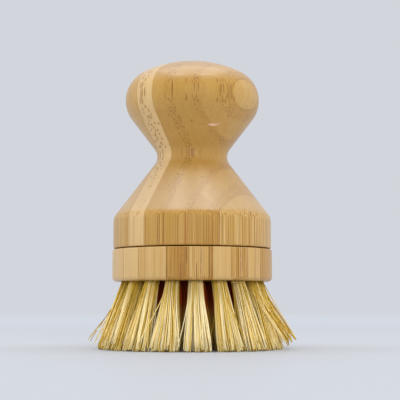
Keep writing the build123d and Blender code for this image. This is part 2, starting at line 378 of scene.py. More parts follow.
def handle_outline(sizes):
    """The handle's section, from the top of its bore round the outside to its crown."""
    base = handle_low.z
    shoulder_height = base + sizes.band_height
    neck_height = shoulder_height + sizes.neck_rise
    knob_height = neck_height + sizes.knob_rise
    shoulder = at(sizes.band_radius, shoulder_height)
    neck_centre = at(sizes.neck_radius + sizes.neck_fillet, neck_height)
    knob_centre = at(sizes.knob_radius - sizes.bulge_radius, knob_height)

    away = shoulder - neck_centre
    low_touch = atan2(away.y, away.x) - acos(sizes.neck_fillet / away.length)
    cone_angle = low_touch % (2 * pi) - pi
    across = knob_centre - neck_centre
    crossing = acos((sizes.neck_fillet + sizes.bulge_radius) / across.length)
    high_touch = atan2(across.y, across.x) + crossing

    reach = knob_centre.x
    crown_rise = sizes.crown_height
    crown_radius = (reach**2 + 2 * sizes.bulge_radius * crown_rise + crown_rise**2) / (2 * crown_rise)
    crown_centre = at(0, handle_high.z - crown_radius)
    crown_angle = atan2(knob_height - crown_centre.y, reach)

    setback = sizes.shoulder_round * tan(cone_angle / 2)
    shoulder_centre = at(sizes.band_radius - sizes.shoulder_round, shoulder_height - setback)
    base_centre = at(sizes.band_radius - sizes.base_round, base + sizes.base_round)
    bore_top = insert_high.z + sizes.bore_end_gap
    recess_top = base + sizes.recess_depth
    points = [at(0, bore_top), at(sizes.bore_radius, bore_top), at(sizes.bore_radius, recess_top)]
    points += [at(sizes.recess_radius, recess_top), at(sizes.recess_radius, base)]
    points += arc(base_centre, sizes.base_round, -pi / 2, 0, EDGE_STEP)
    points += arc(shoulder_centre, sizes.shoulder_round, 0, cone_angle, ROUND_STEP)
    points += arc(neck_centre, sizes.neck_fillet, low_touch % (2 * pi), high_touch % (2 * pi), WAIST_STEP)
    points += arc(knob_centre, sizes.bulge_radius, high_touch - pi, crown_angle, ROUND_STEP)
    points += arc(crown_centre, crown_radius, crown_angle, pi / 2, CROWN_STEP)[1:]
    return points


def tuft_axis(node):
    """The middle of a tuft's packed end inside the block, and the way it points out of the block."""
    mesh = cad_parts[node].data
    cap = max(mesh.polygons, key=lambda face: (round(face.normal.z, 3), face.center.z))
    axis = -cap.normal.normalized()
    flat = [v.co for v in mesh.vertices if abs((v.co - cap.center).dot(axis)) < FLATNESS]
    corners = {tuple(round(value, 6) for value in point) for point in flat}
    middle = Vector(np.mean(np.array(sorted(corners)), axis=0))
    return middle, axis


def facing(place, axis):
    """Moves something that stands up at the origin to a place, and tips it along an axis."""
    return Matrix.Translation(place) @ axis.to_track_quat("Z", "X").to_matrix().to_4x4()


def drill(place, axis, radius, length, sides, overrun):
    """A drill's body that ends at a point inside the block."""
    deselect_all()
    bpy.ops.mesh.primitive_cylinder_add(vertices=sides, radius=radius, depth=length + overrun)
    tool = bpy.context.object
    tool.matrix_world = facing(place + axis * ((length + overrun) / 2), axis)
    return tool


class PALMBRUSH_OT_handle(bpy.types.Operator):
    """Turn the bamboo handle"""

    bl_idname = "palmbrush.handle"
    bl_label = "Handle"

    def execute(self, context):
        sizes = context.scene.palm_handle
        piece = turned("bamboo_handle", handle_outline(sizes), sizes.turned_steps)
        dress(piece, bamboo_material("Handle bamboo", HANDLE_GRAIN))
        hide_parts("handle")
        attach(piece, "handle")
        return {"FINISHED"}


class PALMBRUSH_OT_block(bpy.types.Operator):
    """Turn the head block and drill its holes"""

    bl_idname = "palmbrush.block"
    bl_label = "Head block"

    def execute(self, context):
        sizes = context.scene.palm_block
        steps = context.scene.palm_handle.turned_steps
        radius = block_high.x
        low_centre = at(radius - sizes.bottom_round, block_low.z + sizes.bottom_round)
        high_centre = at(radius - sizes.top_round, block_high.z - sizes.top_round)
        points = [at(0, block_low.z)]
        points += arc(low_centre, sizes.bottom_round, -pi / 2, 0, BLOCK_FOOT_STEP)
        points += arc(high_centre, sizes.top_round, 0, pi / 2, BLOCK_TOP_STEP)
        points += [at(0, block_high.z)]
        block = turned("bamboo_block", points, steps)

        tools = []
        for node in tuft_nodes:
            middle, axis = tuft_axis(node)
            length = (middle.z - block_low.z) / -axis.z
            tools.append(drill(middle, axis, sizes.hole_radius, length, sizes.hole_sides, sizes.hole_overrun))
        pilot_end = Vector((0, 0, stud_low.z - sizes.pilot_gap))
        length = block_high.z - pilot_end.z
        up = Vector((0, 0, 1))
        tools.append(drill(pilot_end, up, sizes.pilot_radius, length, sizes.hole_sides, PILOT_OVERRUN))
        cutter = settle(join(tools), "drills")
        apply_modifier(block, "BOOLEAN", operation="DIFFERENCE", object=cutter, solver="EXACT")
        bpy.data.objects.remove(cutter)
        shade(block, SHARP)
        dress(block, bamboo_material("Block bamboo", BLOCK_GRAIN))
        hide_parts("brush_block")
        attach(block, "brush_head")
        return {"FINISHED"}


def thread_body(name, radius, depth, pitch, low, high):
    """A screw thread along Z, with its core and flat ends, between two heights."""
    root = radius - depth
    turns = (high - low) / pitch
    profile = [at(root, low - pitch), at(radius, low - pitch / 2), at(root, low)]
    thread = draw_outline(name, profile)
    apply_modifier(
        thread,
        "SCREW",
        axis="Z",
        screw_offset=pitch,
        iterations=ceil(turns) + 1,
        steps=THREAD_STEPS,
        render_steps=THREAD_STEPS,
        use_merge_vertices=True,
        merge_threshold=MERGE_DISTANCE / 2,
        use_smooth_shade=True,
    )
    deselect_all()
    bpy.ops.mesh.primitive_cylinder_add(vertices=THREAD_STEPS, radius=root, depth=high - low)
    core = bpy.context.object
    core.location.z = (low + high) / 2
    settle(core, name + "_core")
    for height, up in ((low, False), (high, True)):
        edit(thread)
        bpy.ops.mesh.bisect(
            plane_co=(0, 0, height), plane_no=(0, 0, 1), clear_outer=up, clear_inner=not up, use_fill=False
        )
        bpy.ops.object.mode_set(mode="OBJECT")
    return join([thread, core])


class PALMBRUSH_OT_stud(bpy.types.Operator):
    """Cut the steel stud's two threads"""

    bl_idname = "palmbrush.stud"
    bl_label = "Stud"

    def execute(self, context):
        sizes = context.scene.palm_metal
        middle = block_high.z
        point_top = stud_low.z + sizes.point_length
        chamfer_low = stud_high.z - sizes.end_chamfer
        machine = thread_body(
            "stud_machine", sizes.stud_radius, sizes.thread_depth, sizes.thread_pitch, middle, chamfer_low
        )
        wood = thread_body(
            "stud_wood", sizes.stud_radius, sizes.wood_depth, sizes.wood_pitch, point_top, middle
        )
        root = sizes.stud_radius - sizes.thread_depth
        wood_root = sizes.stud_radius - sizes.wood_depth
        end = turned("stud_end", [
            at(0, chamfer_low),
            at(root, chamfer_low),
            at(root - sizes.end_chamfer, stud_high.z),
            at(0, stud_high.z),
        ], STUD_STEPS)
        point = turned("stud_point", [
            at(0, stud_low.z),
            at(wood_root / POINT_TAPER, stud_low.z),
            at(wood_root, point_top),
            at(0, point_top),
        ], STUD_STEPS)
        stud = settle(join([machine, wood, end, point]), "steel_stud")
        shade(stud, THREAD_SHARP)
        dress(stud, steel_material())
        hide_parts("stud")
        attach(stud, "brush_head")
        return {"FINISHED"}


class PALMBRUSH_OT_insert(bpy.types.Operator):
    """Turn the brass insert"""

    bl_idname = "palmbrush.insert"
    bl_label = "Insert"

    def execute(self, context):
        sizes = context.scene.palm_metal
        low, high = insert_low.z, insert_high.z
        collar_top = low + sizes.collar_thickness
        chamfer = sizes.edge_chamfer
        root = sizes.barrel_radius - sizes.barrel_depth
        rings = max(1, round((high - collar_top) / sizes.barrel_pitch))
        step = (high - collar_top) / rings
        points = [at(sizes.bore_radius, high), at(sizes.bore_radius, low + chamfer)]
        points += [at(sizes.bore_radius + chamfer, low), at(sizes.collar_radius - chamfer, low)]
        points += [at(sizes.collar_radius, low + chamfer), at(sizes.collar_radius, collar_top - chamfer)]
        points += [at(sizes.collar_radius - chamfer, collar_top), at(root, collar_top)]
        for ring in range(rings):
            points.append(at(sizes.barrel_radius, collar_top + (ring + 0.5) * step))
            points.append(at(root, collar_top + (ring + 1) * step))
        points.append(points[0])
        insert = turned("brass_insert", points, INSERT_STEPS)
        dress(insert, brass_material())
        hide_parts("handle_insert")
        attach(insert, "insert")
        return {"FINISHED"}


class PALMBRUSH_OT_anchors(bpy.types.Operator):
    """Finish the steel anchors that pin the tufts"""

    bl_idname = "palmbrush.anchors"
    bl_label = "Anchors"

    def execute(self, context):
        material = steel_material()
        for node in anchor_nodes:
            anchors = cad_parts[node]
            for slot in anchors.material_slots:
                slot.material = material
        return {"FINISHED"}


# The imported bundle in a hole: its sides, and its radius over the width and the rise of each ring of its
# domed end.
ROOT_SIDES = 24
DOME_RINGS = ((4, 9), (4, 16))
FACES_UP = 0.9

# A fibre: its rings and sides, how far from each end it bends over its length, how far its root strays over
# how far its tip does, the range of thickness, the spread of tones, and a direction that no fibre runs along.
FIBRE_RINGS = 6
FIBRE_SIDES = 4
BEND_PLACE = 0.3
ROOT_STRAYING = 0.5
THICKNESSES = (0.75, 1.3)
TONE_SPREAD = (0.9, 0.8)
CROSSWISE = (1.0, 0.2, 0.0)

# The tips, over a tuft's reach: how far out its locks lie, the weakest pull to a lock over the strongest, how
# far a tip strays, the reach that counts as the middle, and how few tips are much shorter than the trim.
LOCK_REACH = 0.85
LEAST_PULL = 0.2
TIP_STRAYING = 0.05
TIP_MIDDLE = 0.1
TRIM_POWER = 4

# Strays: how far to the side a tuft at the brush's edge points, the share of strays that stand out at the
# left edge, which way they stand at each edge (outwards, and at most to a side), and the shortest reach.
EDGE_TUFT = 0.88
LEFT_STRAYS = 0.3
RIGHT_WAY = (0.6, 0.6)
LEFT_WAY = (0.55, 0.4)
SHORTEST_STRAY = 0.4

# Colours: how fast the painted light that makes the front tufts paler fades towards the sides, its mean, and
# where the painted shade that browns the tufts in the middle of the brush ends, over the brush's reach.
FRONT_LIGHT_POWER = 3
MEAN_FRONT_LIGHT = 0.2
INNER_SHADE_REACH = 0.8

# The loose fibre: how far in front of its tuft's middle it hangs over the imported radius, how far under the
# block over the fibre's radius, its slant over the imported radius, and its tone and place along a fibre.
LOOSE_FRONT = 1.5
LOOSE_DROP = 3
LOOSE_SLANT = 1 / 4
LOOSE_TONE = 0.5
LOOSE_ALONG = 0.3


def model_fibre():
    """One straight fibre a unit long: its corners as (round, along), and its faces."""
    deselect_all()
    bpy.ops.mesh.primitive_cylinder_add(vertices=FIBRE_SIDES, radius=1, depth=1, location=(0, 0, 0.5))
    fibre = settle(bpy.context.object, "fibre")
    for ring in range(1, FIBRE_RINGS):
        edit(fibre)
        bpy.ops.mesh.bisect(plane_co=(0, 0, ring / FIBRE_RINGS), plane_no=(0, 0, 1))
    bpy.ops.object.mode_set(mode="OBJECT")
    corners = np.array([v.co for v in fibre.data.vertices])
    faces = [list(face.vertices) for face in fibre.data.polygons]
    bpy.data.objects.remove(fibre)
    return corners, faces


def packed_root(name, middle, axis, length, radius):
    """The folded bundle in its hole, with a slightly domed end where the fibres part."""
    deselect_all()
    bpy.ops.mesh.primitive_cylinder_add(
        vertices=ROOT_SIDES, radius=radius, depth=length, location=(0, 0, length / 2)
    )
    root = settle(bpy.context.object, name)
    edit(root)
    bpy.ops.mesh.select_all(action="DESELECT")
    bpy.ops.object.mode_set(mode="OBJECT")
    for face in root.data.polygons:
        face.select = face.normal.z > FACES_UP
    bpy.ops.object.mode_set(mode="EDIT")
    bpy.ops.mesh.select_mode(type="FACE")
    for width, rise in DOME_RINGS:
        bpy.ops.mesh.inset(thickness=radius / width, depth=radius / rise)
    bpy.ops.object.mode_set(mode="OBJECT")
    root.matrix_world = facing(middle, axis)
    return settle(root, name)


def edge_way(rng, outward, sideways):
    """Which way a stray stands at the edge of the brush."""
    return np.array((outward, rng.uniform(-sideways, sideways)))


def fibre_ends(rng, sizes, mouth, axis, foot, spread):
    """Where each fibre of a tuft starts in its hole and where it is trimmed."""
    outward = Vector((foot.x, foot.y, 0)).normalized()
    across = Vector((-outward.y, outward.x, 0))
    root_outward = axis.cross(across)
    place = (np.arange(sizes.fibres) + 0.5) / sizes.fibres
    out = np.sqrt(place)
    angle = np.arange(sizes.fibres) * GOLDEN_ANGLE
    flat = np.stack([out * np.cos(angle), out * np.sin(angle)], axis=1)

    start = mouth - axis * sizes.start_depth
    starts = np.array(start) + sizes.packed_radius * (
        flat[:, :1] * np.array(root_outward) + flat[:, 1:] * np.array(across)
    )

    middles = rng.uniform(-LOCK_REACH, LOCK_REACH, (sizes.locks, 2))
    nearest = np.argmin(np.linalg.norm(flat[:, None] - middles[None], axis=2), axis=1)
    pull = sizes.lock_pull * rng.uniform(LEAST_PULL, 1.0, (sizes.fibres, 1))
    tips = flat * (1 - pull) + middles[nearest] * pull
    tips += rng.normal(0, TIP_STRAYING, tips.shape)
    tips[:, 0] *= np.where(tips[:, 0] > 0, sizes.outward_share, 1)
    tips[:, 1] *= sizes.side_share
    tips /= np.maximum(1, np.linalg.norm(tips, axis=1, keepdims=True))
    worn = outward.x > EDGE_TUFT
    if worn:
        tips[:, 0] -= sizes.worn_lean
    for stray in rng.choice(sizes.fibres, sizes.worn_strays if worn else sizes.strays, replace=False):
        way = tips[stray] / max(np.linalg.norm(tips[stray]), TIP_MIDDLE)
        if worn:
            way = edge_way(rng, *RIGHT_WAY)
        elif outward.x < -EDGE_TUFT and rng.uniform() < LEFT_STRAYS:
            way = edge_way(rng, *LEFT_WAY)
        tips[stray] = way * rng.uniform(SHORTEST_STRAY, 1 + sizes.stray_reach / spread)

    ends = np.array(foot) + spread * (tips[:, :1] * np.array(outward) + tips[:, 1:] * np.array(across))
    furthest = cad_box[1].x
    held_in = np.minimum(1, furthest / np.linalg.norm(ends[:, :2], axis=1))
    ends[:, :2] *= held_in[:, None]
    splay = np.linalg.norm(ends[:, :2], axis=1) - (furthest - sizes.splay_width)
    ends[:, 2] = np.maximum(0, splay) * sizes.splay_rise
    ends[:, 2] += rng.uniform(0, 1, sizes.fibres) ** TRIM_POWER * sizes.tip_scatter
    ends[:, 2] += rng.uniform(0, 1, sizes.locks)[nearest] * sizes.lock_scatter
    return starts, ends


def fibre_mesh(rng, sizes, shape, starts, ends, axis):
    """The corners of every fibre of a tuft, with each corner's tone and place along its fibre."""
    corners, faces = shape
    count = len(starts)
    along = corners[:, 2]
    steps = np.unique(np.round(along, 6))
    ring = np.searchsorted(steps, np.round(along, 6))
    t = steps[None, :, None]
    run = np.linalg.norm(ends - starts, axis=1)[:, None, None]
    first = starts[:, None] + np.array(axis) * run * BEND_PLACE
    last = ends[:, None] + (starts[:, None] - ends[:, None]) * BEND_PLACE
    first = first + rng.normal(0, sizes.waviness * ROOT_STRAYING, (count, 1, 3)) * (1, 1, 0)
    last = last + rng.normal(0, sizes.waviness, (count, 1, 3)) * (1, 1, 0)
    path = (
        (1 - t) ** 3 * starts[:, None]
        + 3 * (1 - t) ** 2 * t * first
        + 3 * (1 - t) * t**2 * last
        + t**3 * ends[:, None]
    )
    way = np.gradient(path, axis=1)
    way /= np.linalg.norm(way, axis=2, keepdims=True)
    side = np.cross(way, CROSSWISE)
    side /= np.linalg.norm(side, axis=2, keepdims=True)
    front = np.cross(side, way)

    spin = rng.uniform(0, 2 * pi, (count, 1))
    radius = sizes.fibre_radius * rng.uniform(*THICKNESSES, (count, 1))
    x = corners[None, :, 0] * np.cos(spin) - corners[None, :, 1] * np.sin(spin)
    y = corners[None, :, 0] * np.sin(spin) + corners[None, :, 1] * np.cos(spin)
    taper = (1 - sizes.tip_thinning * along)[None, :]
    points = path[:, ring] + (radius * taper * x)[..., None] * side[:, ring]
    points += (radius * taper * y)[..., None] * front[:, ring]
    points[..., 2] = np.maximum(points[..., 2], 0)

    offsets = np.arange(count) * len(corners)
    all_faces = [[corner + offset for corner in face] for offset in offsets.tolist() for face in faces]
    # Painted shade: the nearer a fibre lies to the middle of its tuft, the darker its tone.
    from_core = np.sqrt(np.linspace(0, 1, count))
    tone = rng.beta(*TONE_SPREAD, count) - sizes.core_painted_shade * (1 - from_core)
    return points.reshape(-1, 3), all_faces, np.repeat(tone, len(corners)), np.tile(along, count)


def loose_fibre(rng, sizes, shape, mouth):
    """The mesh of a loose fibre that hangs across the front of a tuft, close under the block."""
    front = mouth.y - LOOSE_FRONT * sizes.packed_radius
    middle = Vector((sizes.loose_side, front, block_low.z - LOOSE_DROP * sizes.fibre_radius))
    half = Vector((sizes.loose_length / 2, LOOSE_SLANT * sizes.packed_radius, 0))
    starts, ends = np.array([middle - half]), np.array([middle + half])
    points, faces, tone, along = fibre_mesh(rng, sizes, shape, starts, ends, half.normalized())
    return points, faces, np.full(len(tone), LOOSE_TONE), np.full(len(along), LOOSE_ALONG)


def model_tuft(node, shape, sizes, seed):
    """One tuft: its packed root in the hole and the loose fibres that leave it."""
    rng = np.random.default_rng(seed)
    middle, axis = tuft_axis(node)
    depth = (middle.z - block_low.z) / -axis.z
    mouth = middle + axis * depth
    foot = mouth + axis * (mouth.z / -axis.z)
    tips = [v.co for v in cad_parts[node].data.vertices if v.co.z < block_low.z / 4]
    spread = max((Vector((tip.x, tip.y, 0)) - foot).length for tip in tips)
    starts, ends = fibre_ends(rng, sizes, mouth, axis, foot, spread)
    points, faces, tone, along = fibre_mesh(rng, sizes, shape, starts, ends, axis)
    in_front = mouth.y < 0 and mouth.xy.length > block_high.x / 2
    if in_front and abs(mouth.x - sizes.loose_side) < sizes.packed_radius:
        more_points, more_faces, more_tone, more_along = loose_fibre(rng, sizes, shape, mouth)
        faces += [[corner + len(points) for corner in face] for face in more_faces]
        points = np.concatenate((points, more_points))
        tone = np.concatenate((tone, more_tone))
        along = np.concatenate((along, more_along))

    # Painted light: tufts that face the front are paler, those at the back darker.
    facing_front = max(0, -foot.y / foot.xy.length) ** FRONT_LIGHT_POWER
    tone = np.clip(tone + sizes.front_painted_light * (facing_front - MEAN_FRONT_LIGHT), 0, 1)
    # Painted shade: the nearer a tuft stands to the middle of the brush, the browner its fibres are painted.
    brown = 1 - min(1, foot.xy.length / (INNER_SHADE_REACH * cad_box[1].x))
    inside = np.full(len(tone), sizes.inner_shade_tone * brown)

    mesh = bpy.data.meshes.new(node + "_fibres")
    mesh.from_pydata(points.tolist(), [], faces)
    # The inside attribute carries the painted shade of the middle tufts; tone also holds painted shade in
    # each tuft's core and painted light on the front tufts.
    for name, values in (("tone", tone), ("along", along), ("inside", inside)):
        mesh.attributes.new(name, "FLOAT", "POINT").data.foreach_set("value", values)
    fibres = bpy.data.objects.new(node + "_fibres", mesh)
    bpy.context.collection.objects.link(fibres)
    root = packed_root(node + "_root", middle, axis, depth + sizes.fibre_radius, sizes.packed_radius)
    tuft = settle(join([fibres, root]), "fibre_" + node)
    pick(tuft)
    bpy.ops.object.shade_smooth()
    return tuft


class PALMBRUSH_OT_tufts(bpy.types.Operator):
    """Fill every hole with its tuft of fibre"""

    bl_idname = "palmbrush.tufts"
    bl_label = "Tufts"

    def execute(self, context):
        sizes = context.scene.palm_bristles
        shape = model_fibre()
        material = fibre_material()
        for place, node in enumerate(tuft_nodes):
            tuft = model_tuft(node, shape, sizes, sizes.seed + place)
            dress(tuft, material)
            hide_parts(node)
            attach(tuft, "brush_head")
        return {"FINISHED"}


class Shader:
    """Adds and links the nodes of one material or node group."""

    def __init__(self, tree):
        self.tree = tree

    def add(self, kind, **settings):
        node = self.tree.nodes.new(kind)
        for key, value in settings.items():
            setattr(node, key, value)
        return node

    def put(self, value, socket):
        """Links a socket's value to another socket, or sets it."""
        if isinstance(value, bpy.types.NodeSocket):
            self.tree.links.new(value, socket)
        else:
            socket.default_value = value

    def fill(self, node, *values):
        """Puts values in a node's first sockets."""
        for value, socket in zip(values, node.inputs):
            self.put(value, socket)
        return node

    def math(self, operation, *values, clamp=False):
        return self.fill(self.add("ShaderNodeMath", operation=operation, use_clamp=clamp), *values).outputs[0]

    def times(self, first, second):
        return self.math("MULTIPLY", first, second)

    def plus(self, first, second, clamp=False):
        return self.math("ADD", first, second, clamp=clamp)

    def minus(self, first, second):
        return self.math("SUBTRACT", first, second)

    def most(self, first, second):
        return self.math("MAXIMUM", first, second)

    def between(self, value, low, high, new_low=0.0, new_high=1.0, step="SMOOTHSTEP"):
        """Runs from a new low to a new high value while a value runs between two limits."""
        node = self.add("ShaderNodeMapRange", interpolation_type=step)
        return self.fill(node, value, low, high, new_low, new_high).outputs[0]

    def blend(self, share, first, second):
        """A share of the second colour over the first."""
        node = self.add("ShaderNodeMix", data_type="RGBA")
        for value, socket in ((share, 0), (first, 6), (second, 7)):
            self.put(value, node.inputs[socket])
        return node.outputs[2]

    def paint(self, share, under, shade):
        """A share of one of the finishes' colours over another colour."""
        return self.blend(share, under, (*shade, 1.0))

    def point(self, x, y, z):
        return self.fill(self.add("ShaderNodeCombineXYZ"), x, y, z).outputs[0]

    def split(self, value, kind="XYZ"):
        """The three parts of a point or a colour."""
        return self.fill(self.add("ShaderNodeSeparate" + kind), value).outputs

    def scaled(self, values, scales):
        """A point from three values, each times its scale."""
        return self.point(*(
            self.times(value, scale) if isinstance(value, bpy.types.NodeSocket) else value * scale
            for value, scale in zip(values, scales)
        ))

    def gap(self, first, second):
        """The distance between two points."""
        node = self.add("ShaderNodeVectorMath", operation="DISTANCE")
        return self.fill(node, first, second).outputs["Value"]

    def centred(self, value):
        """A value that ran from 0 to 1, moved to run from -0.5 to 0.5."""
        return self.minus(value, 0.5)

    def ramp(self, value, *stops):
        """A colour that runs through the colours of its stops."""
        node = self.add("ShaderNodeValToRGB")
        elements = node.color_ramp.elements
        while len(elements) < len(stops):
            elements.new(0.5)
        for element, (place, shade) in zip(elements, stops):
            element.position = place
            element.color = (*shade, 1.0)
        return self.fill(node, value).outputs[0]

    def bump(self, height, shader, strength, distance):
        """Raises a shader's surface by a height."""
        node = self.add("ShaderNodeBump")
        for value, socket in ((strength, "Strength"), (distance, "Distance"), (height, "Height")):
            self.put(value, node.inputs[socket])
        self.put(node.outputs[0], shader.inputs["Normal"])

    def noise(self, place, scale=1.0, detail=2.0, roughness=0.5):
        node = self.add("ShaderNodeTexNoise")
        sockets = ("Vector", "Scale", "Detail", "Roughness")
        for value, socket in zip((place, scale, detail, roughness), sockets):
            self.put(value, node.inputs[socket])
        return node.outputs["Fac"]

    def cells(self, place):
        """The distance to the nearest of many scattered points, and that point's own colour."""
        node = self.add("ShaderNodeTexVoronoi", voronoi_dimensions="2D")
        self.put(place, node.inputs["Vector"])
        node.inputs["Scale"].default_value = 1.0
        return node.outputs["Distance"], node.outputs["Color"]

    def place_mm(self, turn_z=0.0, offset=(0.0, 0.0, 0.0)):
        """Object coordinates in millimetres, turned about the brush's axis and moved."""
        node = self.add("ShaderNodeMapping")
        source = self.add("ShaderNodeTexCoord").outputs["Object"]
        scale = (1 / MM, 1 / MM, 1 / MM)
        return self.fill(node, source, offset, (0, 0, turn_z), scale).outputs["Vector"]


def new_material(name):
    """An empty material with its shader and output, and what adds nodes to it."""
    material = bpy.data.materials.new(name)
    material.use_nodes = True
    shader = next(node for node in material.node_tree.nodes if node.type == "BSDF_PRINCIPLED")
    return material, Shader(material.node_tree), shader


def new_group(name, inputs, outputs):
    """An empty node group, what adds nodes to it, and the sockets inside it that give and take its values."""
    group = bpy.data.node_groups.new(name, "ShaderNodeTree")
    for socket, kind, value in inputs:
        made = group.interface.new_socket(socket, in_out="INPUT", socket_type=kind)
        if value is not None:
            made.default_value = value
    for socket, kind in outputs:
        group.interface.new_socket(socket, in_out="OUTPUT", socket_type=kind)
    s = Shader(group)
    return group, s, s.add("NodeGroupInput").outputs, s.add("NodeGroupOutput").inputs


VECTOR, VALUE, COLOUR = "NodeSocketVector", "NodeSocketFloat", "NodeSocketColor"

# Sizes in the wood, in millimetres: ply and strip, how far each ply's strips are shifted against the last
# ply's, how far the grain drifts, and a glue line's soft edges.
PLY = 7.95
STRIP = 20.0
STRIP_SHIFT = 7.3
DRIFT = 0.5
GLUE_EDGES = (0.05, 0.17)

# Streaks as (width in millimetres, stretch along the fibres, detail), and which part of the noise is a line.
STREAK_WIDTH = 0.3
FINE_STREAKS = (STREAK_WIDTH, 0.006, 1.0)
BROAD_STREAKS = (7 * STREAK_WIDTH, 0.05, 2.0)
DARK_LINES = (1.8 * STREAK_WIDTH, 0.012, 0.0)
LINE_RANGE = (0.62, 0.72)

# Fibre bundles: spacing in millimetres and radius over it, their dark core over the radius, and how fast
# they fade along the fibres.
COARSE_BUNDLES = (1.15, 0.36)
FINE_BUNDLES = (0.68, 0.38)
BUNDLE_CORE = 0.6
FADE_ALONG = 0.12
FADE_SCALE = 3.0

# How finely a noise varies across and along the fibres, per millimetre, and the values that it is turned
# into, as (from, to, first, last).
DRIFT_SCALES = (0.06, 0.06, 0.02)
PATCH_SCALES = (0.08, 0.08, 0.05)
PATCHES = (0.3, 0.6, 0.5, 1.0)
BUNDLE_FADING = (0.3, 0.5, 0.45, 1.0)
ROW_SCALES = (0.5, 0.5, 0.1)
ROW_FADING = (0.3, 0.5, 0.5, 1.0)

# How strongly each thing shows: the tones of strips, fine streaks and broad ones, the dark lines, glue
# between strips over glue between plies, and the bundles' colour.
STRIP_TONES = 0.16
STREAK_TONES = 2.4
BROAD_TONES = 0.28
LINE_DEPTH = 0.5
STRIP_GLUE = 0.3
BUNDLE_DEPTH = 0.85

# The waxed surface: its roughness, how much rougher streaks are, and how deep bundles lie over streaks.
WAX_ROUGHNESS = 0.45
STREAK_ROUGHNESS = 0.12
BUNDLE_DENT = 0.4


def bamboo_group():
    """Glued bamboo in millimetres: X runs across the plies, Y along them and Z along the fibres."""
    made = bpy.data.node_groups.get("Glued bamboo")
    if made:
        return made
    finish = bpy.context.scene.palm_finish
    group, s, given, taken = new_group(
        "Glued bamboo",
        (
            ("Place", VECTOR, None),
            ("Tone", VALUE, 0.5),
            ("Coarse bundles", VALUE, 0.3),
            ("Fine bundles", VALUE, 0.0),
            ("Streaks", VALUE, 0.5),
            ("Glue", VALUE, 0.5),
            ("Ply", VALUE, PLY),
            ("Strip", VALUE, STRIP),
        ),
        (("Colour", COLOUR), ("Roughness", VALUE), ("Height", VALUE)),
    )
    place = s.split(given["Place"])
    straight_x, straight_y, z = place
    slow = s.noise(s.scaled(place, DRIFT_SCALES), detail=1.0)
    drift = s.times(s.centred(slow), DRIFT)
    x = s.plus(straight_x, drift)
    y = s.minus(straight_y, drift)

    ply = s.math("DIVIDE", straight_x, given["Ply"])
    layer = s.math("FLOOR", ply)
    strip = s.math("DIVIDE", s.plus(straight_y, s.times(layer, STRIP_SHIFT)), given["Strip"])
    board = s.add("ShaderNodeTexWhiteNoise", noise_dimensions="2D")
    s.put(s.point(layer, s.math("FLOOR", strip), 0.0), board.inputs["Vector"])

    def edge(share, width):
        share = s.math("FRACT", share)
        near = s.math("MINIMUM", share, s.minus(1.0, share))
        return s.between(s.times(near, width), *GLUE_EDGES, 1.0, 0.0)

    def grain(width, along, detail):
        return s.noise(s.scaled((x, y, z), (1 / width, 1 / width, along / width)), detail=detail)

    def bundles(spacing, radius, crowd):
        distance, kind = s.cells(s.scaled((x, y, 0.0), (1 / spacing, 1 / spacing, 0.0)))
        chance, row, column = s.split(kind, "Color")
        shown = s.math("LESS_THAN", chance, crowd)
        fading = s.noise(s.point(row, column, s.times(z, FADE_ALONG)), FADE_SCALE)
        dot = s.between(distance, radius * BUNDLE_CORE, radius, 1.0, 0.0)
        return s.times(s.times(dot, shown), s.between(fading, *BUNDLE_FADING))

    streak = s.centred(grain(*FINE_STREAKS))
    broad = s.centred(grain(*BROAD_STREAKS))
    line = s.between(grain(*DARK_LINES), *LINE_RANGE)
    patches = s.between(s.noise(s.scaled((x, y, z), PATCH_SCALES), detail=0.0), *PATCHES)
    coarse = bundles(*COARSE_BUNDLES, given["Coarse bundles"])
    fine = bundles(*FINE_BUNDLES, given["Fine bundles"])
    bundle = s.times(s.most(coarse, fine), patches)

    tone = s.plus(given["Tone"], s.times(s.centred(board.outputs["Value"]), STRIP_TONES))
    tone = s.plus(tone, s.times(s.times(streak, STREAK_TONES), given["Streaks"]))
    tone = s.plus(tone, s.times(broad, BROAD_TONES), clamp=True)
    colour = s.ramp(tone, (0.0, finish.pale_bamboo), (0.6, finish.gold_bamboo), (1.0, finish.brown_bamboo))
    line = s.times(s.times(line, given["Streaks"]), LINE_DEPTH)
    glue = s.most(edge(ply, given["Ply"]), s.times(edge(strip, given["Strip"]), STRIP_GLUE))
    colour = s.paint(line, colour, finish.streak_brown)
    colour = s.paint(s.times(glue, given["Glue"]), colour, finish.glue_brown)
    colour = s.paint(s.times(bundle, BUNDLE_DEPTH), colour, finish.bundle_brown)
    s.put(colour, taken["Colour"])
    s.put(s.plus(WAX_ROUGHNESS, s.times(streak, STREAK_ROUGHNESS)), taken["Roughness"])
    s.put(s.minus(streak, s.times(bundle, BUNDLE_DENT)), taken["Height"])
    return group
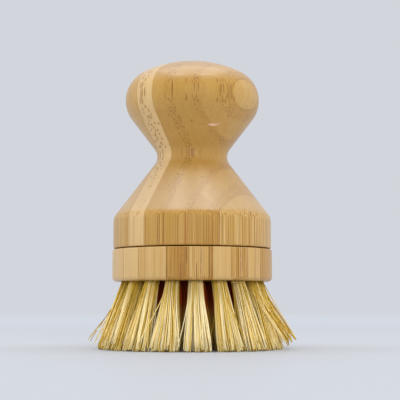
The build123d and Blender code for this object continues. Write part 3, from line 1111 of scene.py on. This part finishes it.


# Places and sizes in millimetres. plies: each ply's start across the plies, its tone from light to dark, how
# crowded its coarse and its fine fibre bundles are, and how streaky it is. lines: rows of single bundles at
# the front, which show as lines where a turned surface runs along them: their colour, that surface's radius,
# their thickness and the heights between which they show, then each one's place to the right of the axis and
# how dark it is. chip: where a sliver of bare wood shows, and how far it reaches. calm_above: the height
# above which streaks and glue lines are fainter. dust: the heights where the cone starts, where its pale coat
# starts to thin, where the waist is, and where the crown starts. That pale coat is partly dusty end grain and
# partly a painted sheen of the light from above.
EVERYWHERE = (0.0, 200.0)
HANDLE_GRAIN = {
    "turn_z": radians(35.3),
    "offset": (-0.05, 3.0, 0.0),
    "plies": (
        (-32.0, 0.50, 0.15, 0.0, 0.5),
        (-7.95, 0.05, 0.45, 0.0, 0.4),
        (-6.8, 0.06, 0.95, 0.15, 0.4),
        (-2.4, 0.00, 0.25, 0.0, 0.3),
        (0.0, 0.66, 0.02, 0.0, 0.5),
        (5.4, 0.68, 0.0, 0.8, 0.7),
        (8.3, 0.64, 0.03, 0.0, 0.5),
        (14.4, 0.68, 0.0, 0.8, 0.7),
        (16.4, 0.64, 0.03, 0.0, 0.6),
        (20.8, 0.68, 0.0, 0.95, 0.8),
        (23.85, 0.42, 0.03, 0.0, 0.9),
        (27.6, 0.42, 0.2, 0.1, 1.2),
    ),
    "lines": (
        ("bundle_brown", 13.35, 0.6, EVERYWHERE, (
            (-3.6, 0.5), (-1.9, 0.6), (-1.1, 0.9), (-0.1, 1.0), (3.0, 0.3), (8.9, 0.5),
        )),
        ("orange_bundle", 29.65, 0.5, EVERYWHERE, ((-2.15, 1.0), (9.9, 0.2))),
        ("line_brown", 25.3, 0.44, (93.0, 99.0), (
            (-16.7, 0.2), (-13.6, 0.3), (-12.8, 0.2), (-8.8, 0.35), (-6.95, 0.9), (0.9, 0.9), (2.4, 0.9),
            (10.6, 0.7), (11.5, 0.9), (12.95, 0.2), (14.1, 0.7),
        )),
        ("line_brown", 29.65, 0.45, EVERYWHERE, (
            (-27.4, 0.2), (-26.1, 0.3), (-24.0, 0.3), (-22.4, 0.3), (-20.9, 0.4), (-18.35, 0.15),
            (-16.4, 0.6), (-14.7, 0.2), (-12.1, 0.3), (-11.4, 0.65), (-9.9, 0.5), (-5.7, 0.25), (-4.9, 0.4),
            (0.3, 0.15), (4.2, 0.3), (5.15, 0.35), (9.85, 0.65), (10.85, 0.25), (13.5, 0.2), (14.7, 0.3),
            (17.0, 0.4), (18.2, 0.2), (20.65, 0.6), (22.6, 0.6), (26.1, 0.15), (27.0, 0.25),
        )),
    ),
    "chip": ((8.1, -17.1, 81.9), (2.6, 6.0, 0.42)),
    "calm_above": 49.5,
    "dust_and_sheen": (49.0, 55.0, 70.0, 97.0),
}
BLOCK_GRAIN = {
    "turn_z": 0.0,
    "offset": (0.9, 5.0, 0.0),
    "plies": (
        (-32.0, 0.12, 0.0, 0.0, 0.25),
        (-18.6, 0.30, 0.0, 0.0, 0.3),
        (-8.0, 0.88, 0.1, 0.6, 0.9),
        (0.0, 0.54, 0.1, 0.2, 0.8),
        (6.6, 0.85, 0.0, 0.5, 0.9),
        (8.4, 0.20, 0.0, 0.0, 0.2),
        (14.6, 0.42, 0.1, 0.4, 1.0),
        (20.6, 0.28, 0.05, 0.0, 0.3),
        (25.4, 0.70, 0.1, 0.2, 0.5),
    ),
    "lines": (
        ("orange_bundle", 29.95, 0.65, EVERYWHERE, (
            (-4.1, 0.3), (6.6, 0.4), (16.0, 0.5), (17.3, 0.5), (19.4, 0.5),
        )),
        ("line_brown", 29.95, 0.45, EVERYWHERE, (
            (-21.7, 0.2), (-18.95, 0.5), (-16.3, 0.2), (-13.1, 0.15), (-8.84, 1.0), (-6.05, 0.45),
            (6.18, 0.8), (7.13, 0.9), (8.03, 0.2), (14.0, 0.25), (16.58, 0.9), (18.0, 0.7), (18.85, 0.85),
            (19.95, 0.6), (23.4, 0.2), (25.7, 0.5),
        )),
        ("line_brown", 29.95, 0.45, (31.0, 40.0), (
            (-4.9, 0.3), (-1.78, 1.0), (1.0, 0.2), (3.4, 0.3), (24.05, 0.3),
        )),
        ("line_brown", 29.95, 0.45, (20.0, 31.0), (
            (-27.2, 0.15), (-3.95, 0.7), (-2.9, 0.25), (1.72, 1.0), (15.9, 0.25), (24.85, 0.4),
        )),
    ),
}

# How soft a line's ends are, in millimetres.
LINE_END = 1.0

# The calm part: how high it takes to calm down, what is left of the streaks, and the glue's strength.
CALM_RISE = 2.0
CALM_STREAKS = 0.35
CALM_GLUE = 0.5

# The chip: how steeply it rises to the right, and its soft edge over its reach.
CHIP_LIFT = 0.16
CHIP_EDGES = (0.7, 1.05)

# The pale coat of the slopes, partly dusty end grain and partly a painted sheen of the light from above: how
# fast it sets in on the cone and at the waist and crown, what is left of it at the waist, how many of the
# coarse bundles it hides, and how strongly it and the chip show.
DUST_AND_SHEEN_START = 2.5
DUST_AND_SHEEN_END = 6.0
WAIST_DUST_AND_SHEEN = 0.15
DUST_AND_SHEEN_HIDES = 0.75
DUST_AND_SHEEN_DEPTH = 0.28
CHIP_DEPTH = 0.85


def line_mask(s, place, radius, thickness, heights, bundles):
    """How dark the wood is at one row of single bundles."""
    parts = s.split(place)
    flat = s.scaled(parts, (1.0, 1.0, 0.0))
    z = parts[2]
    low, high = heights
    row = 0.0
    for side, depth in bundles:
        middle = (side, -sqrt(radius**2 - side**2), 0.0)
        row = s.most(row, s.between(s.gap(flat, middle), thickness / 4, thickness / 2, depth, 0.0))
    started = s.between(z, low - LINE_END, low + LINE_END)
    unfinished = s.between(z, high - LINE_END, high + LINE_END, 1.0, 0.0)
    fading = s.noise(s.scaled(parts, ROW_SCALES), detail=1.0)
    return s.times(s.times(row, s.times(started, unfinished)), s.between(fading, *ROW_FADING))


def chip_mask(s, place, middle, reach):
    """A small chip round a point of the handle, with a thin end that rises to the right."""
    away = s.fill(s.add("ShaderNodeVectorMath", operation="SUBTRACT"), place, middle)
    x, y, z = s.split(away.outputs[0])
    right = s.most(x, 0.0)
    tilted = s.minus(z, s.times(s.math("POWER", right, 2.0), CHIP_LIFT))
    shape = s.scaled((x, y, s.times(tilted, s.plus(1.0, right))), [1 / length for length in reach])
    return s.between(s.gap(shape, (0.0, 0.0, 0.0)), *CHIP_EDGES, 1.0, 0.0)


def bamboo_material(name, grain):
    """Waxed bamboo, glued from plies, turned and sanded."""
    finish = bpy.context.scene.palm_finish
    material, s, shader = new_material(name)
    whole = s.place_mm()
    place = s.place_mm(grain["turn_z"], grain["offset"])
    across, _, z = s.split(place)
    first = grain["plies"][0][0]
    plies = s.add("ShaderNodeValToRGB")
    s.put(s.between(across, first, -first, step="LINEAR"), plies.inputs[0])
    plies.color_ramp.interpolation = "CONSTANT"
    stops = plies.color_ramp.elements
    while len(stops) < len(grain["plies"]):
        stops.new(1.0)
    for stop, (start, tone, coarse, fine, streaks) in zip(stops, grain["plies"]):
        stop.position = (start - first) / (-2 * first)
        stop.color = (tone, coarse, streaks, fine)
    tone, coarse, streaks = s.split(plies.outputs[0], "Color")

    bamboo = s.add("ShaderNodeGroup", node_tree=bamboo_group())
    if "calm_above" in grain:
        calm_from = grain["calm_above"]
        calm = s.between(z, calm_from, calm_from + CALM_RISE, 1.0, CALM_STREAKS)
        s.put(s.times(calm, CALM_GLUE), bamboo.inputs["Glue"])
        streaks = s.times(streaks, calm)
    # The pale coat on the cone, the waist and the crown: partly dusty end grain, partly a painted sheen of
    # the light from above.
    if "dust_and_sheen" in grain:
        low, thinning, waist, crown = grain["dust_and_sheen"]
        slope = s.times(s.between(z, low, low + DUST_AND_SHEEN_START), s.between(z, thinning, waist, 1.0, WAIST_DUST_AND_SHEEN))
        slope = s.times(slope, s.between(z, waist, waist + DUST_AND_SHEEN_END, 1.0, 0.0))
        coarse = s.times(coarse, s.minus(1.0, s.times(slope, DUST_AND_SHEEN_HIDES)))
        dust_and_sheen = s.most(slope, s.between(z, crown, crown + DUST_AND_SHEEN_END))
    s.fill(bamboo, place, tone, coarse, plies.outputs[1], streaks)

    colour = bamboo.outputs["Colour"]
    for shade_name, *row in grain["lines"]:
        colour = s.paint(line_mask(s, whole, *row), colour, getattr(finish, shade_name))
    # Paints the pale coat: partly dusty end grain, partly painted sheen.
    if "dust_and_sheen" in grain:
        colour = s.paint(s.times(dust_and_sheen, DUST_AND_SHEEN_DEPTH), colour, finish.sanded_wood_and_sheen)
    if "chip" in grain:
        chip = chip_mask(s, whole, *grain["chip"])
        colour = s.paint(s.times(chip, CHIP_DEPTH), colour, finish.bare_wood)
    s.put(colour, shader.inputs["Base Color"])
    s.put(bamboo.outputs["Roughness"], shader.inputs["Roughness"])
    shader.inputs["IOR"].default_value = 1.5
    shader.inputs["Coat Weight"].default_value = 0.5
    shader.inputs["Coat Roughness"].default_value = 0.24
    s.bump(bamboo.outputs["Height"], shader, strength=0.25, distance=0.05 * MM)
    return material


# Where along a fibre and on which tones a colour shows, as (from, to, first, last): ochre painted shade at
# the root, cream painted light at the tip, and in the middle of the brush brown painted shade that turns to
# ochre.
ROOT_SHADE_ALONG = (0.1, 0.55, 0.9, 0.0)
ROOT_SHADE_TONES = (0.5, 0.9, 1.0, 0.6)
TIP_LIGHT_ALONG = (0.35, 0.95, 0.0, 0.45)
TIP_LIGHT_TONES = (0.3, 0.8)
INNER_SHADE_ALONG = (0.3, 0.85, 1.0, 0.75)
INNER_SHADE_OCHRE_ALONG = (0.3, 0.85)
FLECKS = 0.4


def fibre_material():
    """Straw-coloured plant fibre, no two fibres alike, with painted shade and light: ochre painted shade at
    the root under the block, paler painted light at the trimmed tips, and brown painted shade in the middle
    of the brush.
    """
    finish = bpy.context.scene.palm_finish
    material, s, shader = new_material("Plant fibre")
    tone, along, inside = (
        s.add("ShaderNodeAttribute", attribute_name=name).outputs["Fac"]
        for name in ("tone", "along", "inside")
    )
    fleck = s.centred(s.noise(s.place_mm(), scale=0.9, detail=3.0, roughness=0.6))
    light = s.plus(tone, s.times(fleck, FLECKS), clamp=True)
    colour = s.ramp(light, (0.0, finish.dark_fibre), (0.5, finish.straw_fibre), (1.0, finish.cream_fibre))
    # Painted shade: ochre near the root, under the block.
    root_shade = s.times(s.between(along, *ROOT_SHADE_ALONG), s.between(tone, *ROOT_SHADE_TONES))
    colour = s.paint(root_shade, colour, finish.root_shade_fibre)
    # Painted light: the fibres turn cream towards their trimmed tips.
    tip_light = s.times(s.between(along, *TIP_LIGHT_ALONG), s.between(tone, *TIP_LIGHT_TONES))
    colour = s.paint(tip_light, colour, finish.cream_fibre)
    # Painted shade: the tufts in the middle of the brush turn brown, then ochre towards their tips.
    painted_inner_shade = s.times(s.math("MINIMUM", inside, 1.0), s.between(along, *INNER_SHADE_ALONG))
    shadowed = s.paint(s.between(along, *INNER_SHADE_OCHRE_ALONG), (*finish.inner_shade_fibre, 1.0), finish.root_shade_fibre)
    s.put(s.blend(painted_inner_shade, colour, shadowed), shader.inputs["Base Color"])
    s.put(s.between(tone, 0.0, 1.0, 0.6, 0.45), shader.inputs["Roughness"])
    shader.inputs["Specular IOR Level"].default_value = 0.1
    return material


# Turned metal: how finely its rings vary across and along Z, which part of the noise is a stain, and how
# much rougher rings and stains are.
RING_SCALES = (0.3, 0.3, 14.0)
STAINS = (0.45, 0.75)
RING_ROUGHNESS = 0.2
STAIN_ROUGHNESS = 0.12


def turned_metal_group():
    """Turned metal in millimetres: fine rings about Z, with stains where it is duller."""
    made = bpy.data.node_groups.get("Turned metal")
    if made:
        return made
    group, s, given, taken = new_group(
        "Turned metal",
        (("Place", VECTOR, None), ("Clean", COLOUR, None), ("Dull", COLOUR, None), ("Gloss", VALUE, 0.3)),
        (("Colour", COLOUR), ("Roughness", VALUE), ("Height", VALUE)),
    )
    rings = s.centred(s.noise(s.scaled(s.split(given["Place"]), RING_SCALES)))
    worn = s.between(s.noise(given["Place"], scale=0.35, detail=4.0, roughness=0.65), *STAINS)
    s.put(s.blend(worn, given["Clean"], given["Dull"]), taken["Colour"])
    gloss = s.plus(given["Gloss"], s.times(rings, RING_ROUGHNESS))
    s.put(s.plus(gloss, s.times(worn, STAIN_ROUGHNESS)), taken["Roughness"])
    s.put(rings, taken["Height"])
    return group


def metal_material(name, clean, dull, gloss):
    """A turned metal of one colour."""
    made = bpy.data.materials.get(name)
    if made:
        return made
    material, s, shader = new_material(name)
    metal = s.add("ShaderNodeGroup", node_tree=turned_metal_group())
    s.fill(metal, s.place_mm(), (*clean, 1.0), (*dull, 1.0), gloss)
    s.put(metal.outputs["Colour"], shader.inputs["Base Color"])
    s.put(metal.outputs["Roughness"], shader.inputs["Roughness"])
    shader.inputs["Metallic"].default_value = 1.0
    s.bump(metal.outputs["Height"], shader, strength=0.2, distance=0.02 * MM)
    return material


def steel_material():
    """Zinc-plated steel."""
    finish = bpy.context.scene.palm_finish
    return metal_material("Plated steel", finish.steel, finish.dull_steel, 0.3)


def brass_material():
    """Turned brass."""
    finish = bpy.context.scene.palm_finish
    return metal_material("Turned brass", finish.brass, finish.dull_brass, 0.28)


def seen_or_lit(s, seen, light):
    """A share of 1 for what the camera, a reflection or glass sees, and 0 for what lights the object."""
    rays = s.add("ShaderNodeLightPath").outputs
    mirrored = s.most(rays["Is Glossy Ray"], rays["Is Transmission Ray"])
    shown = s.most(rays["Is Camera Ray"], mirrored)
    return s.fill(s.add("ShaderNodeMixShader"), shown, light, seen).outputs[0]


def make_world(settings):
    """An even pale backdrop, and even light from all around."""
    world = bpy.context.scene.world or bpy.data.worlds.new("Studio")
    bpy.context.scene.world = world
    world.use_nodes = True
    tree = world.node_tree
    tree.nodes.clear()
    s = Shader(tree)
    backdrop = s.fill(s.add("ShaderNodeBackground"), (*settings.backdrop, 1.0))
    sky = s.fill(s.add("ShaderNodeBackground"), (*settings.sky, 1.0), settings.sky_level)
    output = s.add("ShaderNodeOutputWorld")
    s.put(seen_or_lit(s, backdrop.outputs[0], sky.outputs[0]), output.inputs[0])


# The floor's sheen: its share and its roughness.
FLOOR_SHEEN = 0.12
FLOOR_ROUGHNESS = 0.4


def make_floor(settings):
    """A plain pale floor that fades into the backdrop far from the brush."""
    deselect_all()
    bpy.ops.mesh.primitive_circle_add(vertices=96, radius=settings.floor_radius, fill_type="NGON")
    floor = settle(bpy.context.object, "floor")
    material = bpy.data.materials.new("Pale floor")
    material.use_nodes = True
    tree = material.node_tree
    tree.nodes.clear()
    s = Shader(tree)
    far = s.add("ShaderNodeVectorMath", operation="LENGTH")
    s.put(s.add("ShaderNodeTexCoord").outputs["Object"], far.inputs[0])
    plain = s.fill(s.add("ShaderNodeBsdfDiffuse"), (*settings.floor_colour, 1.0))
    satin = s.add("ShaderNodeBsdfGlossy")
    satin.inputs["Roughness"].default_value = FLOOR_ROUGHNESS
    near = s.fill(s.add("ShaderNodeMixShader"), FLOOR_SHEEN, plain.outputs[0], satin.outputs[0])
    turned_up = s.between(far.outputs["Value"], settings.backdrop_start, settings.backdrop_end)
    far_colour = s.paint(turned_up, (*settings.far_floor_colour, 1.0), settings.backdrop)
    even = s.fill(s.add("ShaderNodeEmission"), far_colour)
    fade = s.between(far.outputs["Value"], settings.near_floor, settings.far_floor)
    faded = s.fill(s.add("ShaderNodeMixShader"), fade, near.outputs[0], even.outputs[0])
    output = s.add("ShaderNodeOutputMaterial")
    s.put(seen_or_lit(s, faded.outputs[0], plain.outputs[0]), output.inputs[0])
    floor.data.materials.append(material)


def make_lamp(name, place, target, extent, level, reflected):
    """A soft lamp that faces a point; its level is the radiance of its face."""
    light = bpy.data.lights.new(name, "AREA")
    light.shape = "RECTANGLE"
    light.size, light.size_y = extent
    light.energy = level * pi * extent[0] * extent[1]
    lamp = bpy.data.objects.new(name, light)
    bpy.context.collection.objects.link(lamp)
    lamp.location = place
    lamp.rotation_mode = "QUATERNION"
    lamp.rotation_quaternion = (Vector(place) - Vector(target)).to_track_quat("Z", "Y")
    lamp.visible_camera = False
    lamp.visible_glossy = reflected


def make_camera(settings):
    """The camera where the photograph was taken from."""
    data = bpy.data.cameras.new("camera")
    data.sensor_width = 36
    data.lens = settings.lens_mm
    data.clip_start = 0.01
    data.clip_end = 20
    camera = bpy.data.objects.new("camera", data)
    bpy.context.collection.objects.link(camera)
    camera.location = (settings.camera_side, -settings.camera_distance, settings.camera_height)
    camera.rotation_euler = (pi / 2 + settings.camera_pitch, 0, 0)
    bpy.context.scene.camera = camera


class PALMBRUSH_OT_stage(bpy.types.Operator):
    """Set up the floor, the light and the camera"""

    bl_idname = "palmbrush.stage"
    bl_label = "Stage"

    def execute(self, context):
        settings = context.scene.palm_stage
        context.scene.view_settings.view_transform = "Standard"
        make_world(settings)
        make_floor(settings)
        middle = (0, 0, cad_box[1].z / 2)
        dome, strip = settings.dome_level, settings.strip_level
        for name, place, extent, level, reflected in (
            ("overhead", (0.0, 0.0, 1.15), (1.1, 1.1), 1.5 * dome, True),
            ("rear", (0.0, 1.15, 0.85), (1.3, 1.3), dome, False),
            ("left", (-1.25, 0.1, 0.4), (1.3, 0.8), 2.0 * dome, False),
            ("right", (1.25, 0.1, 0.4), (1.3, 0.8), 1.9 * dome, False),
            ("front", (0.15, -1.4, 0.4), (0.8, 0.8), settings.front_level, False),
            ("left_strip", (-0.28, -0.3, 1.1), (0.24, 0.16), strip, True),
            ("right_strip", (0.28, -0.3, 1.1), (0.24, 0.16), strip, True),
        ):
            make_lamp(name, place, middle, extent, level, reflected)
        make_camera(settings)
        return {"FINISHED"}


STEPS = (
    PALMBRUSH_OT_handle,
    PALMBRUSH_OT_block,
    PALMBRUSH_OT_stud,
    PALMBRUSH_OT_insert,
    PALMBRUSH_OT_anchors,
    PALMBRUSH_OT_tufts,
    PALMBRUSH_OT_stage,
)


class PALMBRUSH_PT_panel(bpy.types.Panel):
    """The brush's pieces, each with its button"""

    bl_label = "Palm Brush"
    bl_idname = "PALMBRUSH_PT_panel"
    bl_space_type = "VIEW_3D"
    bl_region_type = "UI"
    bl_category = "Palm Brush"

    def draw(self, context):
        for step in STEPS:
            self.layout.operator(step.bl_idname)


GROUPS = {
    "palm_handle": HandleSizes,
    "palm_block": BlockSizes,
    "palm_metal": MetalSizes,
    "palm_bristles": BristleSizes,
    "palm_finish": Finishes,
    "palm_stage": StageSettings,
}


def register():
    for name, group in GROUPS.items():
        bpy.utils.register_class(group)
        setattr(bpy.types.Scene, name, PointerProperty(type=group))
    for step in (*STEPS, PALMBRUSH_PT_panel):
        bpy.utils.register_class(step)


def unregister():
    for step in (PALMBRUSH_PT_panel, *reversed(STEPS)):
        bpy.utils.unregister_class(step)
    for name, group in GROUPS.items():
        delattr(bpy.types.Scene, name)
        bpy.utils.unregister_class(group)


def main():
    register()
    for step in STEPS:
        getattr(bpy.ops.palmbrush, step.bl_idname.split(".")[1])()


if __name__ == "__main__":
    main()
